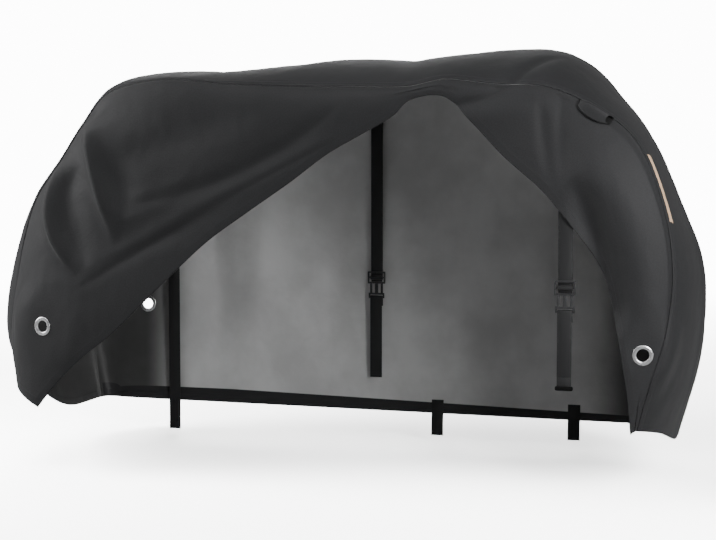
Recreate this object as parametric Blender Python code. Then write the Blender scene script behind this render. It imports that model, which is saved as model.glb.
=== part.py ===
"""Outdoor cover of coated cloth, as it hangs in use, with one side drawn up.

Metres, +Z up. +X points to the front end, -Y to the near side, whose hem is
drawn up into a wide arch. The origin is the place under the top where the
cover is held up. Tables give heights above the ground; place() turns them
into the part's own Z.
"""
import math

import bmesh
import bpy
import numpy as np
from mathutils import Matrix, Vector

# ---------------------------------------------------------------- sizes
REST_HEIGHT = 1.184        # the held-up place under the top, above the ground
CLOTH = 0.002              # coated cloth with its folded edges
SEAM_GAP = 0.0006          # each panel stops this far short of the seam line
CROWN_POWER = 2.6          # flatness of the top strip between its shoulders
SHOULDER_POWER = 1.5       # roundness of the shoulders beside the seams
FAR_HEM_REAR = (-0.88, 0.43, 0.110)
FAR_HEM_FRONT = (0.87, 0.445, 0.088)
FAR_TURN = 0.25            # where the far side turns, from seam to hem
FAR_BELLY = 0.02           # how far it swells there
REAR_DROP = 0.150          # the end hems hang this much lower away from
FRONT_DROP = 0.075         # the near seam
END_DROP_WIDTH = 0.50      # and reach that this far beyond it
END_FADE = 0.20            # share of the length over which the drop fades

EYELET_OUTER = 0.0265      # radius of the flanges
EYELET_HOLE = 0.0165       # radius of the clear hole
EYELET_BARREL = 0.0182     # radius of the tube between the flanges
EYELET_CUT = 0.0190        # radius of the hole punched in the cloth
EYELET_PLATE = 0.0012      # thickness of each flange
EYELET_CLEAR = 0.0005      # flange to cloth
EYELET_ROUND = 0.0012      # how far the flange's face is drawn in at its rims
EYELET_LIP = 0.0004        # and how deep
EYELET_STEPS = 28
CUTTER_DEPTH = 0.040

WEBBING_WIDTH = 0.038
WEBBING = 0.0018
LOOP_WIDTH = 0.035         # grab loop
LOOP_RISE = 0.026          # how far its middle stands off the cloth
LOOP_CLEAR = 0.0022        # its feet to the cloth
LOOP_BELOW = 0.100         # its middle, as a share of the side below the seam
LOOP_PLACES = (0.757, 0.826)   # x of its two ends, measured on the seam
LOOP_FOOT = 0.15           # share of the loop that lies flat at each end
LOOP_SLOPE = 0.20          # share of the loop that climbs from each foot
LOOP_STEPS = 14
LOOP_SAMPLES = 400         # places looked at to find its ends

BUCKLE_DEPTH = 0.007
# Edges of the buckle's bars, from the middle: across and in height. The fork
# hooks under the frame with three prongs above its lower bar.
FRAME_X = (-0.0280, -0.0230, 0.0230, 0.0280)
FRAME_H = (-0.0190, -0.0140, -0.0025, 0.0025, 0.0140, 0.0190)
FORK_X = (-0.0250, -0.0205, -0.0140, -0.0050, 0.0050, 0.0140, 0.0205, 0.0250)
FORK_H = (-0.0650, -0.0605, -0.0545, -0.0485, -0.0194)

# One row for each section of the cover, from the rear foot over the top to
# the front foot. seam_x, seam_h: the near seam in side view. near, far: each
# seam's distance from the middle plane. rise: how far the strip stands out of
# the seam line. tuck: how far the far seam lies inside the near one. hem_x,
# hem_h, hem_y: the drawn-up near hem. turn, belly: where between seam and hem
# the near side turns, and how far it swells there.
SECTION_COLUMNS = ("seam_x", "seam_h", "near", "far", "rise", "tuck",
                   "hem_x", "hem_h", "hem_y", "turn", "belly")
SECTIONS = (
    (-0.940, 0.262, 0.180, 0.400, 0.055, 0.00, -0.820, 0.195, 0.350, 0.15, 0.000),
    (-0.960, 0.335, 0.185, 0.410, 0.070, 0.00, -0.770, 0.255, 0.355, 0.15, 0.005),
    (-0.966, 0.420, 0.190, 0.420, 0.080, 0.00, -0.715, 0.310, 0.360, 0.15, 0.010),
    (-0.945, 0.545, 0.200, 0.430, 0.075, 0.00, -0.655, 0.360, 0.370, 0.15, 0.015),
    (-0.908, 0.680, 0.225, 0.440, 0.060, 0.00, -0.580, 0.415, 0.380, 0.17, 0.020),
    (-0.855, 0.795, 0.255, 0.450, 0.050, 0.00, -0.490, 0.495, 0.400, 0.20, 0.020),
    (-0.758, 0.905, 0.300, 0.455, 0.045, 0.00, -0.385, 0.590, 0.415, 0.22, 0.020),
    (-0.670, 1.005, 0.345, 0.460, 0.045, 0.00, -0.275, 0.685, 0.430, 0.25, 0.020),
    (-0.570, 1.092, 0.395, 0.460, 0.048, 0.00, -0.150, 0.770, 0.445, 0.30, 0.022),
    (-0.400, 1.125, 0.440, 0.460, 0.034, 0.00, -0.030, 0.850, 0.455, 0.35, 0.024),
    (-0.220, 1.113, 0.450, 0.460, 0.050, 0.00, 0.070, 0.922, 0.462, 0.35, 0.024),
    (-0.030, 1.105, 0.450, 0.460, 0.082, 0.00, 0.165, 0.975, 0.466, 0.35, 0.022),
    (0.160, 1.103, 0.450, 0.460, 0.086, 0.00, 0.250, 1.022, 0.468, 0.35, 0.016),
    (0.290, 1.103, 0.455, 0.460, 0.090, 0.00, 0.300, 1.066, 0.468, 0.35, 0.008),
    (0.390, 1.121, 0.455, 0.460, 0.080, 0.00, 0.385, 1.076, 0.468, 0.35, 0.008),
    (0.520, 1.108, 0.450, 0.460, 0.108, 0.01, 0.452, 1.020, 0.468, 0.35, 0.014),
    (0.660, 1.098, 0.450, 0.460, 0.108, 0.03, 0.545, 0.922, 0.468, 0.35, 0.018),
    (0.790, 1.040, 0.450, 0.460, 0.060, 0.05, 0.655, 0.825, 0.468, 0.35, 0.020),
    (0.890, 0.955, 0.450, 0.460, 0.034, 0.07, 0.740, 0.715, 0.468, 0.35, 0.020),
    (0.957, 0.790, 0.450, 0.460, 0.034, 0.07, 0.802, 0.610, 0.468, 0.35, 0.018),
    (0.981, 0.630, 0.450, 0.460, 0.062, 0.05, 0.834, 0.480, 0.468, 0.35, 0.014),
    (0.968, 0.485, 0.450, 0.460, 0.076, 0.03, 0.856, 0.375, 0.466, 0.35, 0.010),
    (0.930, 0.350, 0.445, 0.455, 0.085, 0.01, 0.872, 0.290, 0.460, 0.35, 0.006),
    (0.893, 0.212, 0.430, 0.445, 0.070, 0.00, 0.878, 0.204, 0.445, 0.35, 0.002),
)

# Main folds, in side view. Each runs through three places (x, height) and
# has a half width and a height over the cloth, which is negative in a trough.
# They fade in over this share of a side, from its seam down.
FOLD_FADE = 0.18
FOLD_COLUMNS = ("x0", "h0", "x1", "h1", "x2", "h2", "width", "depth")
NEAR_FOLDS = (
    (-0.652, 1.005, -0.634, 0.870, -0.540, 0.715, 0.026, 0.018),
    (-0.590, 0.980, -0.545, 0.880, -0.465, 0.795, 0.052, -0.030),
    (-0.765, 0.860, -0.805, 0.745, -0.680, 0.590, 0.024, 0.016),
    (-0.730, 0.870, -0.715, 0.765, -0.650, 0.650, 0.040, -0.030),
    (-0.400, 0.955, -0.250, 0.985, -0.090, 1.040, 0.048, -0.014),
    (-0.760, 0.430, -0.480, 0.635, 0.020, 0.930, 0.036, -0.022),
    (-0.680, 0.580, -0.340, 0.760, 0.100, 0.990, 0.040, 0.016),
    (-0.370, 0.830, -0.120, 0.935, 0.110, 1.055, 0.032, -0.016),
    (0.400, 1.055, 0.480, 1.085, 0.560, 1.115, 0.020, -0.010),
    (0.700, 1.000, 0.700, 0.910, 0.705, 0.810, 0.028, -0.008),
    (0.690, 0.950, 0.760, 0.810, 0.835, 0.620, 0.042, -0.020),
    (0.880, 0.900, 0.912, 0.680, 0.895, 0.450, 0.050, 0.012),
)
FAR_FOLDS = (
    (-0.520, 0.950, -0.560, 0.600, -0.520, 0.260, 0.070, 0.014),
    (-0.160, 1.000, -0.130, 0.620, -0.190, 0.230, 0.080, -0.014),
    (0.240, 1.000, 0.190, 0.640, 0.260, 0.230, 0.070, 0.014),
    (0.600, 0.960, 0.640, 0.620, 0.570, 0.240, 0.080, -0.014),
)
FOLD_SAMPLES = 21          # places looked at along each fold
FOLD_END = 0.04            # share of a fold's length kept from its thin ends

SECTION_STEPS = 72         # cells along the length of each panel
NEAR_STEPS = 14            # cells between seam and hem
STRIP_STEPS = 12
FAR_STEPS = 8

# Where the eyelets sit: name, side, x, height above the ground.
EYELETS = (
    ("near_rear_eyelet", -1, -0.800, 0.430),
    ("near_front_eyelet", -1, 0.911, 0.415),
    ("far_rear_eyelet", 1, -0.790, 0.420),
    ("far_front_eyelet", 1, 0.880, 0.400),
)
FLAT_RADIUS = 0.062        # cloth held flat around an eyelet
FLAT_FADE = 0.050

# Straps: name, side of the wall they are sewn to, x, top of the sewn end,
# how much of it is sewn down, free end, buckle height or None.
STRAP_COLUMNS = ("name", "side", "x", "top", "sewn", "end", "buckle")
STRAPS = (
    ("near_strap", -1, 0.708, 0.822, 0.035, 0.320, 0.582),
    ("far_strap", 1, -0.013, 1.085, 0.030, 0.207, 0.523),
    ("rear_strap", 1, -0.689, 0.960, 0.030, 0.015, None),
    ("middle_hem_strap", 1, 0.184, 0.140, 0.030, 0.028, None),
    ("front_hem_strap", 1, 0.614, 0.140, 0.030, 0.030, None),
)
STRAP_CLEAR = 0.0015       # sewn end to the cloth
STRAP_AWAY = 0.0060        # hanging strap to the innermost cloth beside it
STRAP_STEP = 0.060         # length of a cell along a hanging strap
STRAP_LOOKS = 16           # heights at which the cloth beside it is looked at
WALL_SAMPLES = (240, 90)   # places looked at along and down a side wall
SAMPLE_REACH = 0.012       # how far around a place the cloth is looked at
PROBE = 0.004              # step used to find directions on the cloth
SEARCH_STEPS = 25          # places tried each way in a search on the cloth
SEARCH_ROUNDS = 6
WALL_SPANS = {-1: (-1.0, 0.0), 1: (1.0, 2.0)}   # across, from hem to seam
PANEL_PROBE = 0.02         # the same across a panel
LEAST_LEAN = 0.6           # how far a seam's shared direction may lean
SHARP_ANGLE = math.radians(40)


# ---------------------------------------------------------------- materials
def make_material(name, colour, roughness, metallic=0.0):
    material = bpy.data.materials.new(name)
    material.use_nodes = True
    shader = material.node_tree.nodes["Principled BSDF"]
    shader.inputs["Base Color"].default_value = (*colour, 1.0)
    shader.inputs["Roughness"].default_value = roughness
    shader.inputs["Metallic"].default_value = metallic
    material.diffuse_color = (*colour, 1.0)
    return material


def finish(name, bm, material, smooth=True):
    """Turns a closed bmesh into the named sub-part."""
    bmesh.ops.recalc_face_normals(bm, faces=bm.faces[:])
    mesh = bpy.data.meshes.new(name)
    bm.to_mesh(mesh)
    bm.free()
    mesh.materials.append(material)
    if smooth:
        mesh.shade_smooth()
        mesh.set_sharp_from_angle(angle=SHARP_ANGLE)
    sub_part = bpy.data.objects.new(name, mesh)
    bpy.context.scene.collection.objects.link(sub_part)
    return sub_part


# ---------------------------------------------------------------- the skin
def smooth_step(value):
    value = np.clip(value, 0.0, 1.0)
    return value * value * (3.0 - 2.0 * value)


def fade_in(value, start, full):
    return smooth_step((value - start) / (full - start))


def blend(first, second, share):
    return first + (second - first) * share


def unit(vectors):
    return vectors / np.linalg.norm(vectors, axis=-1, keepdims=True)


def section(along):
    """The columns of SECTIONS at places along the cover, from 0 to 1."""
    table = np.array(SECTIONS)
    last = len(table) - 1
    place = np.clip(along, 0.0, 1.0) * last
    cell = np.minimum(place.astype(int), last - 1)
    share = (place - cell)[:, None]
    before = table[np.maximum(cell - 1, 0)]
    start = table[cell]
    end = table[cell + 1]
    after = table[np.minimum(cell + 2, last)]
    bend = 2.0 * before - 5.0 * start + 4.0 * end - after
    twist = 3.0 * start - before - 3.0 * end + after
    rows = start + 0.5 * share * ((end - before) + share * (bend + share * twist))
    return dict(zip(SECTION_COLUMNS, rows.T))


def end_drop(along, beyond):
    """How much lower the end hems hang, at places beyond the near seam."""
    rear_end = np.clip(1.0 - along / END_FADE, 0.0, 1.0) ** 2
    front_end = np.clip(1.0 - (1.0 - along) / END_FADE, 0.0, 1.0) ** 2
    across = smooth_step(beyond / END_DROP_WIDTH)
    return across * (REAR_DROP * rear_end + FRONT_DROP * front_end)


def seam_outward(along):
    """The side view's direction out of the seam line: x and height."""
    nudge = 0.5 / len(SECTIONS)
    ahead = section(np.minimum(along + nudge, 1.0))
    behind = section(np.maximum(along - nudge, 0.0))
    run_x = ahead["seam_x"] - behind["seam_x"]
    run_h = ahead["seam_h"] - behind["seam_h"]
    length = np.hypot(run_x, run_h)
    return -run_h / length, run_x / length


def top_strip(rows, along, across):
    """The long strip that runs up the rear, over the top and down the front."""
    side = np.sin(math.pi * (across - 0.5))
    arch = (1.0 - np.abs(side) ** CROWN_POWER) ** (1.0 / SHOULDER_POWER)
    share = 0.5 + 0.5 * side
    out = rows["rise"] * arch - rows["tuck"] * smooth_step(share)
    y = blend(-rows["near"], rows["far"], share)
    out_x, out_h = seam_outward(along)
    height = rows["seam_h"] + out_h * out - end_drop(along, y + rows["near"])
    return np.stack([rows["seam_x"] + out_x * out, y, height], -1)


def wall(seam, turn, hem, down):
    """A side wall's rib: out from the seam, round its turn, down to the hem."""
    down = down[:, None]
    return (seam * (1.0 - down) ** 2 + turn * 2.0 * down * (1.0 - down)
            + hem * down ** 2)


def near_wall(rows, along, down):
    seam = top_strip(rows, along, np.zeros_like(along))
    hem = np.stack([rows["hem_x"], -rows["hem_y"], rows["hem_h"]], -1)
    turn = blend(seam, hem, rows["turn"][:, None])
    turn[:, 1] = -(rows["hem_y"] + rows["belly"])
    return wall(seam, turn, hem, down)


def far_wall(rows, along, down):
    seam = top_strip(rows, along, np.ones_like(along))
    rear, front = SECTIONS[0][0], SECTIONS[-1][0]
    share = 0.5 * along + 0.5 * (rows["seam_x"] - rear) / (front - rear)
    hem = blend(np.array(FAR_HEM_REAR), np.array(FAR_HEM_FRONT), share[:, None])
    turn = blend(seam, hem, FAR_TURN)
    turn[:, 1] = np.maximum(rows["far"], hem[:, 1]) + FAR_BELLY
    return wall(seam, turn, hem, down)


def hung_cloth(along, across):
    """Places on the cloth before its folds: across runs from -1 at the near
    hem to 0 at the near seam, 1 at the far seam and 2 at the far hem."""
    rows = section(along)
    strip = top_strip(rows, along, np.clip(across, 0.0, 1.0))
    near = near_wall(rows, along, np.clip(-across, 0.0, 1.0))
    far = far_wall(rows, along, np.clip(across - 1.0, 0.0, 1.0))
    places = np.where((across < 0.0)[:, None], near, strip)
    places = np.where((across > 1.0)[:, None], far, places)
    return places


def outward(surface, along, across):
    """Directions square to the cloth, and even across the seams."""
    ahead = surface(np.minimum(along + PROBE, 1.0), across)
    behind = surface(np.maximum(along - PROBE, 0.0), across)
    here = surface(along, across)
    left = surface(along, np.maximum(across - PROBE * 3.0, -1.0))
    right = surface(along, np.minimum(across + PROBE * 3.0, 2.0))
    step_left = here - left
    step_right = right - here
    short = 1e-9
    step_left /= np.maximum(np.linalg.norm(step_left, axis=-1, keepdims=True), short)
    step_right /= np.maximum(np.linalg.norm(step_right, axis=-1, keepdims=True), short)
    return unit(np.cross(ahead - behind, step_left + step_right))


def fold_height(folds, x, height):
    """The summed height of the folds at places in side view."""
    total = np.zeros_like(x)
    for row in folds:
        fold = dict(zip(FOLD_COLUMNS, row))
        nearest = np.full_like(x, np.inf)
        position = np.zeros_like(x)
        for share in np.linspace(0.0, 1.0, FOLD_SAMPLES):
            back = 1.0 - share
            bend_x = 2.0 * fold["x1"] - 0.5 * (fold["x0"] + fold["x2"])
            bend_h = 2.0 * fold["h1"] - 0.5 * (fold["h0"] + fold["h2"])
            line_x = back ** 2 * fold["x0"] + 2 * back * share * bend_x + share ** 2 * fold["x2"]
            line_h = back ** 2 * fold["h0"] + 2 * back * share * bend_h + share ** 2 * fold["h2"]
            distance = np.hypot(x - line_x, height - line_h)
            closer = distance < nearest
            nearest = np.where(closer, distance, nearest)
            position = np.where(closer, share, position)
        taper = np.sin(math.pi * np.clip(position, FOLD_END, 1.0 - FOLD_END)) ** 0.7
        total += fold["depth"] * taper * np.exp(-(nearest / fold["width"]) ** 2)
    return total


def folded_cloth(along, across):
    """Places on the cloth with its folds."""
    places = hung_cloth(along, across)
    near_side = fade_in(-across, 0.0, FOLD_FADE)
    far_side = fade_in(across - 1.0, 0.0, FOLD_FADE)
    height = near_side * fold_height(NEAR_FOLDS, places[:, 0], places[:, 2])
    height += far_side * fold_height(FAR_FOLDS, places[:, 0], places[:, 2])
    return places + outward(hung_cloth, along, across) * height[:, None]


def find_on_wall(surface, side, x, height):
    """Where a side wall passes a place in side view: along and across."""
    lowest, highest = WALL_SPANS[side]
    along_middle, across_middle = 0.5, 0.5 * (lowest + highest)
    reach = 0.5
    for _ in range(SEARCH_ROUNDS):
        tried = np.linspace(-reach, reach, SEARCH_STEPS)
        along, across = np.meshgrid(np.clip(along_middle + tried, 0.0, 1.0),
                                    np.clip(across_middle + tried, lowest, highest))
        along, across = along.ravel(), across.ravel()
        places = surface(along, across)
        best = np.hypot(places[:, 0] - x, places[:, 2] - height).argmin()
        along_middle, across_middle = along[best], across[best]
        reach *= 0.25
    return along_middle, across_middle


def flat_spots():
    """The middle and direction of the flat cloth around each eyelet."""
    spots = {}
    for name, side, x, height in EYELETS:
        along, across = find_on_wall(folded_cloth, side, x, height)
        at = np.array([along]), np.array([across])
        spots[name] = (folded_cloth(*at)[0], outward(folded_cloth, *at)[0])
    return spots


SPOTS = flat_spots()


def skin(along, across):
    """Places on the outer face of the cover, above the ground."""
    places = folded_cloth(along, across)
    for middle, direction in SPOTS.values():
        away = np.linalg.norm(places - middle, axis=-1)
        held = 1.0 - smooth_step((away - FLAT_RADIUS) / FLAT_FADE)
        proud = (places - middle) @ direction
        places = places - (held * proud)[:, None] * direction
    return places


def place(point):
    """A place above the ground, in the part's own frame."""
    return Vector((point[0], point[1], point[2] - REST_HEIGHT))


# ---------------------------------------------------------------- panels
def thickened_grid(columns, rows, mapping):
    """A closed sheet: mapping gives its outer and inner place for each of
    the grid's places, which run from 0 to 1 both ways."""
    bm = bmesh.new()
    bmesh.ops.create_grid(bm, x_segments=columns, y_segments=rows, size=0.5)
    inward = bm.verts.layers.float_vector.new("inward")
    corners = np.array([vert.co[:2] for vert in bm.verts]) + 0.5
    outer, inner = mapping(corners[:, 0], corners[:, 1])
    for vert, outer_place, inner_place in zip(bm.verts, outer, inner):
        vert.co = place(outer_place)
        vert[inward] = Vector(inner_place - outer_place)
    sheet = bmesh.ops.extrude_face_region(bm, geom=bm.faces[:], use_keep_orig=True)
    for item in sheet["geom"]:
        if isinstance(item, bmesh.types.BMVert):
            item.co += item[inward]
    return bm


def make_panel(name, first, last, rows, material):
    """One cut panel of the skin, between two lines across it."""
    def mapping(along, down):
        across = blend(first, last, down)
        outer = skin(along, across)
        next_across = blend(first, last, np.clip(down + PANEL_PROBE, 0.0, 1.0))
        last_across = blend(first, last, np.clip(down - PANEL_PROBE, 0.0, 1.0))
        line = unit(skin(along, next_across) - skin(along, last_across))
        shared = outward(skin, along, across)
        ahead = skin(np.minimum(along + PROBE, 1.0), across)
        behind = skin(np.maximum(along - PROBE, 0.0), across)
        own = unit(np.cross(ahead - behind, line))
        lean = np.clip(np.sum(own * shared, axis=-1), LEAST_LEAN, 1.0)
        on_seam = np.isclose(across, 0.0) | np.isclose(across, 1.0)
        from_seam = on_seam * np.where(down < 0.5, SEAM_GAP, -SEAM_GAP)
        inner = outer - shared * (CLOTH / lean)[:, None]
        shift = line * from_seam[:, None]
        return outer + shift, inner + shift

    bm = thickened_grid(SECTION_STEPS, rows, mapping)
    return finish(name, bm, material)


def face_turn(direction):
    """The rotation that turns +Z to a direction."""
    return Vector(direction).to_track_quat("Z", "Y").to_matrix().to_4x4()


def eyelet_frame(name):
    middle, direction = SPOTS[name]
    centre = place(middle - direction * CLOTH * 0.5)
    return Matrix.Translation(centre) @ face_turn(direction)


def punch(panel, name):
    """Cuts the round hole that an eyelet fills."""
    bm = bmesh.new()
    bmesh.ops.create_cone(bm, cap_ends=True, segments=EYELET_STEPS,
                          radius1=EYELET_CUT, radius2=EYELET_CUT, depth=CUTTER_DEPTH)
    cutter = finish(name + "_cutter", bm, panel.data.materials[0], smooth=False)
    cutter.data.transform(eyelet_frame(name))
    cutter.hide_render = True
    cutter.display_type = "WIRE"
    cut = panel.modifiers.new(name + "_hole", "BOOLEAN")
    cut.object = cutter
    cut.solver = "EXACT"


def make_eyelet(name, material):
    """Two flanges and the tube between them, pressed through the cloth."""
    half = CLOTH * 0.5 + EYELET_CLEAR
    top = half + EYELET_PLATE
    inner_rim = EYELET_HOLE + EYELET_ROUND
    outer_rim = EYELET_OUTER - EYELET_ROUND
    lip = top - EYELET_LIP
    profile = ((EYELET_HOLE, -lip), (inner_rim, -top), (outer_rim, -top),
               (EYELET_OUTER, -half), (EYELET_BARREL, -half),
               (EYELET_BARREL, half), (EYELET_OUTER, half),
               (outer_rim, top), (inner_rim, top), (EYELET_HOLE, lip))
    bm = bmesh.new()
    verts = [bm.verts.new((radius, 0.0, z)) for radius, z in profile]
    edges = [bm.edges.new((verts[i - 1], verts[i])) for i in range(len(verts))]
    bmesh.ops.spin(bm, geom=verts + edges, cent=(0, 0, 0), axis=(0, 0, 1),
                   angle=2.0 * math.pi, steps=EYELET_STEPS, use_merge=True)
    eyelet = finish(name, bm, material)
    eyelet.data.transform(eyelet_frame(name))
    return eyelet


# ---------------------------------------------------------------- webbing
def make_ribbon(name, path, side, width, material):
    """Webbing along a path; side is the direction of its width."""
    path = np.array(path)
    side = np.array(side)
    tangent = unit(np.gradient(path, axis=0))
    facing = unit(np.cross(tangent, side))

    def mapping(share, across):
        index = np.rint(share * (len(path) - 1)).astype(int)
        centre = path[index] + side[index] * (width * (across - 0.5))[:, None]
        half = facing[index] * WEBBING * 0.5
        return centre + half, centre - half

    bm = thickened_grid(len(path) - 1, 1, mapping)
    return finish(name, bm, material)


def make_grab_loop(name, seam, below, material):
    """A short band of webbing, sewn down at both ends under a seam."""
    samples = np.linspace(0.5, 1.0, LOOP_SAMPLES)
    line = skin(samples, np.full_like(samples, seam))
    to_front = slice(0, int(line[:, 0].argmax()) + 1)
    ends = np.interp(LOOP_PLACES, line[to_front, 0], samples[to_front])
    share = np.linspace(0.0, 1.0, LOOP_STEPS + 1)
    along = blend(ends[0], ends[1], share)
    across = np.full_like(along, below)
    climb = fade_in(share, LOOP_FOOT, LOOP_FOOT + LOOP_SLOPE)
    arch = climb * climb[::-1]
    normal = outward(skin, along, across)
    lift = LOOP_CLEAR + WEBBING * 0.5 + LOOP_RISE * arch
    path = skin(along, across) + normal * lift[:, None]
    tangent = unit(np.gradient(path, axis=0))
    side = unit(np.cross(normal, tangent))
    return make_ribbon(name, path, side, LOOP_WIDTH, material)


def plate(name, x_cuts, h_cuts, holes, middle, material):
    """A flat moulding: a lattice of cells with some left open. Holes are
    numbered by column, from -X, and row, from the bottom."""
    columns, rows = len(x_cuts) - 1, len(h_cuts) - 1
    bm = bmesh.new()
    bmesh.ops.create_grid(bm, x_segments=columns, y_segments=rows, size=0.5)
    open_faces = []
    for face in bm.faces:
        centre = face.calc_center_median()
        cell = (int((centre.x + 0.5) * columns), int((centre.y + 0.5) * rows))
        if cell in holes:
            open_faces.append(face)
    x, y, height = middle
    for vert in bm.verts:
        column = round((vert.co.x + 0.5) * columns)
        row = round((vert.co.y + 0.5) * rows)
        vert.co = place((x + x_cuts[column], y - BUCKLE_DEPTH * 0.5, height + h_cuts[row]))
    bmesh.ops.delete(bm, geom=open_faces, context="FACES")
    solid = bmesh.ops.extrude_face_region(bm, geom=bm.faces[:], use_keep_orig=True)
    for item in solid["geom"]:
        if isinstance(item, bmesh.types.BMVert):
            item.co.y += BUCKLE_DEPTH
    return finish(name, bm, material, smooth=False)


def make_buckle(name, x, y, height, material):
    """A ladder frame and, hooked under it, a fork with three prongs."""
    windows = {(1, 1), (1, 3)}
    slot = {(column, 1) for column in range(1, 6)}
    between_prongs = {(column, 3) for column in (0, 2, 4, 6)}
    plate(name + "_frame", FRAME_X, FRAME_H, windows, (x, y, height), material)
    plate(name + "_fork", FORK_X, FORK_H, slot | between_prongs, (x, y, height), material)


# The webbing's way through the ladder frame: y and height from the middle
# bar, with the near side at negative y.
FRAME_WEAVE = ((0.0050, 0.0300), (0.0050, 0.0150), (0.0046, 0.0105), (0.0030, 0.0072),
               (0.0000, 0.0051), (-0.0036, 0.0046), (-0.0052, 0.0030),
               (-0.0052, -0.0030), (-0.0036, -0.0046), (0.0000, -0.0052),
               (0.0034, -0.0070), (0.0068, -0.0066), (0.0082, -0.0032), (0.0082, 0.0260))
# And from below round the fork's lower bar and down again behind.
FORK_WEAVE = ((0.0078, -0.0900), (0.0078, -0.0640), (0.0058, -0.0594),
              (0.0020, -0.0577), (-0.0020, -0.0577), (-0.0048, -0.0594),
              (-0.0052, -0.0627), (-0.0052, -0.0900))


def hanging(start, end):
    """Heights down a straight stretch of strap, ends left out."""
    count = max(1, int(abs(start - end) / STRAP_STEP))
    return np.linspace(start, end, count + 2)[1:-1]


def wall_samples(side):
    """Many places on the inner face of a side wall."""
    low, high = WALL_SPANS[side]
    along, across = np.meshgrid(np.linspace(0.0, 1.0, WALL_SAMPLES[0]),
                                np.linspace(low, high, WALL_SAMPLES[1]))
    along, across = along.ravel(), across.ravel()
    return skin(along, across) - outward(skin, along, across) * CLOTH


WALLS = {-1: wall_samples(-1), 1: wall_samples(1)}


def wall_inside(side, x, half_width, height):
    """How far from the middle plane a wall's inner face is, at its nearest."""
    wall_places = WALLS[side]
    off_x = np.maximum(np.abs(wall_places[:, 0] - x) - half_width, 0.0)
    off_h = np.abs(wall_places[:, 2] - height)
    away = np.hypot(off_x, off_h)
    close = away < max(SAMPLE_REACH, away.min() + SAMPLE_REACH)
    return np.min(side * wall_places[close, 1])


def hung_ribbon(name, x, path, material):
    """Webbing that hangs in a plane across the cover, at one x."""
    places = [(x, y, height) for y, height in path]
    across = np.tile((1.0, 0.0, 0.0), (len(places), 1))
    return make_ribbon(name, places, across, WEBBING_WIDTH, material)


def make_strap(name, side, x, top, sewn, end, buckle, webbing, plastic):
    """A strap sewn inside a wall, with or without a buckle part way down."""
    def wall_y(height):
        inside = wall_inside(side, x, WEBBING_WIDTH * 0.5, height)
        return side * (inside - STRAP_CLEAR - WEBBING * 0.5)

    foot = top - sewn
    path = [(wall_y(height), height) for height in (top, top - sewn * 0.5, foot)]
    looked_at = np.linspace(foot, end, STRAP_LOOKS)
    hang = side * (min(side * wall_y(height) for height in looked_at) - STRAP_AWAY)
    if buckle is None:
        path += [(hang, height) for height in hanging(foot, end)]
        path.append((hang, end))
        hung_ribbon(name, x, path, webbing)
        return
    middle = hang - FRAME_WEAVE[0][0]
    path += [(hang, height) for height in hanging(foot, buckle + FRAME_WEAVE[0][1])]
    path += [(middle + y, buckle + height) for y, height in FRAME_WEAVE]
    hung_ribbon(name, x, path, webbing)
    make_buckle(name + "_buckle", x, middle, buckle, plastic)
    tail = [(middle + y, buckle + height) for y, height in FORK_WEAVE]
    tail_y, tail_top = tail[-1]
    tail += [(tail_y, height) for height in hanging(tail_top, end)]
    tail.append((tail_y, end))
    hung_ribbon(name + "_tail", x, tail, webbing)


# ---------------------------------------------------------------- the cover
def clear_scene():
    for old in list(bpy.data.objects):
        bpy.data.objects.remove(old, do_unlink=True)


def build():
    clear_scene()
    cloth = make_material("coated_cloth", (0.055, 0.055, 0.058), 0.75)
    webbing = make_material("webbing", (0.020, 0.020, 0.021), 0.80)
    plastic = make_material("buckle_plastic", (0.030, 0.030, 0.032), 0.40)
    metal = make_material("eyelet_metal", (0.85, 0.85, 0.86), 0.30, 1.0)
    near_panel = make_panel("near_side_panel", -1.0, 0.0, NEAR_STEPS, cloth)
    make_panel("top_strip", 0.0, 1.0, STRIP_STEPS, cloth)
    far_panel = make_panel("far_side_panel", 1.0, 2.0, FAR_STEPS, cloth)
    for name, side, _, _ in EYELETS:
        punch(near_panel if side < 0 else far_panel, name)
        make_eyelet(name, metal)
    make_grab_loop("near_grab_loop", 0.0, -LOOP_BELOW, webbing)
    make_grab_loop("far_grab_loop", 1.0, 1.0 + LOOP_BELOW, webbing)
    for row in STRAPS:
        strap = dict(zip(STRAP_COLUMNS, row))
        make_strap(**strap, webbing=webbing, plastic=plastic)


build()
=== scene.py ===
import math

import bmesh
import bpy
import numpy as np
from mathutils import Matrix, Vector, noise


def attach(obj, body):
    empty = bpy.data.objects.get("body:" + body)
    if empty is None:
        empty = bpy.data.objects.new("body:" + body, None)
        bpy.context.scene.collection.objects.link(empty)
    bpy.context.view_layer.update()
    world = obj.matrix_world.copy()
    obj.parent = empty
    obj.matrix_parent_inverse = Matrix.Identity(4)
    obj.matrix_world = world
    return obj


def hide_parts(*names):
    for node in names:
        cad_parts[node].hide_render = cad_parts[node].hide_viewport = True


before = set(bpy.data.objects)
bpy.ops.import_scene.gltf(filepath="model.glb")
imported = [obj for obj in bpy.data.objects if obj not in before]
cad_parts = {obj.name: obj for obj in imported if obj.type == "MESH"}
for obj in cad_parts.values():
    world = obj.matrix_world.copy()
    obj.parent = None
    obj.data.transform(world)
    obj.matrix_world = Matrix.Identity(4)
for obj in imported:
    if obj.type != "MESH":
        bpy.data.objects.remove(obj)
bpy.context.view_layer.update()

# -------------------------- the studio
# A white seamless floor under the hanging cover, soft light from both sides,
# from above and from behind, and a long lens about as high as the arched hem.
GROUND = -1.184
FLOOR_SIZE = 40.0
FLOOR_WHITE = 0.45
FLOOR_SEEN = 9.0
BACKDROP = 13.0
ROOM_LIGHT = 0.12
SWEEP_FROM, SWEEP_TO = 2.6, 6.5
WHITE = (1.0, 1.0, 1.0, 1.0)


def new_material(name):
    """A material and its node tree."""
    material = bpy.data.materials.new(name)
    material.use_nodes = True
    return material, material.node_tree


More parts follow.
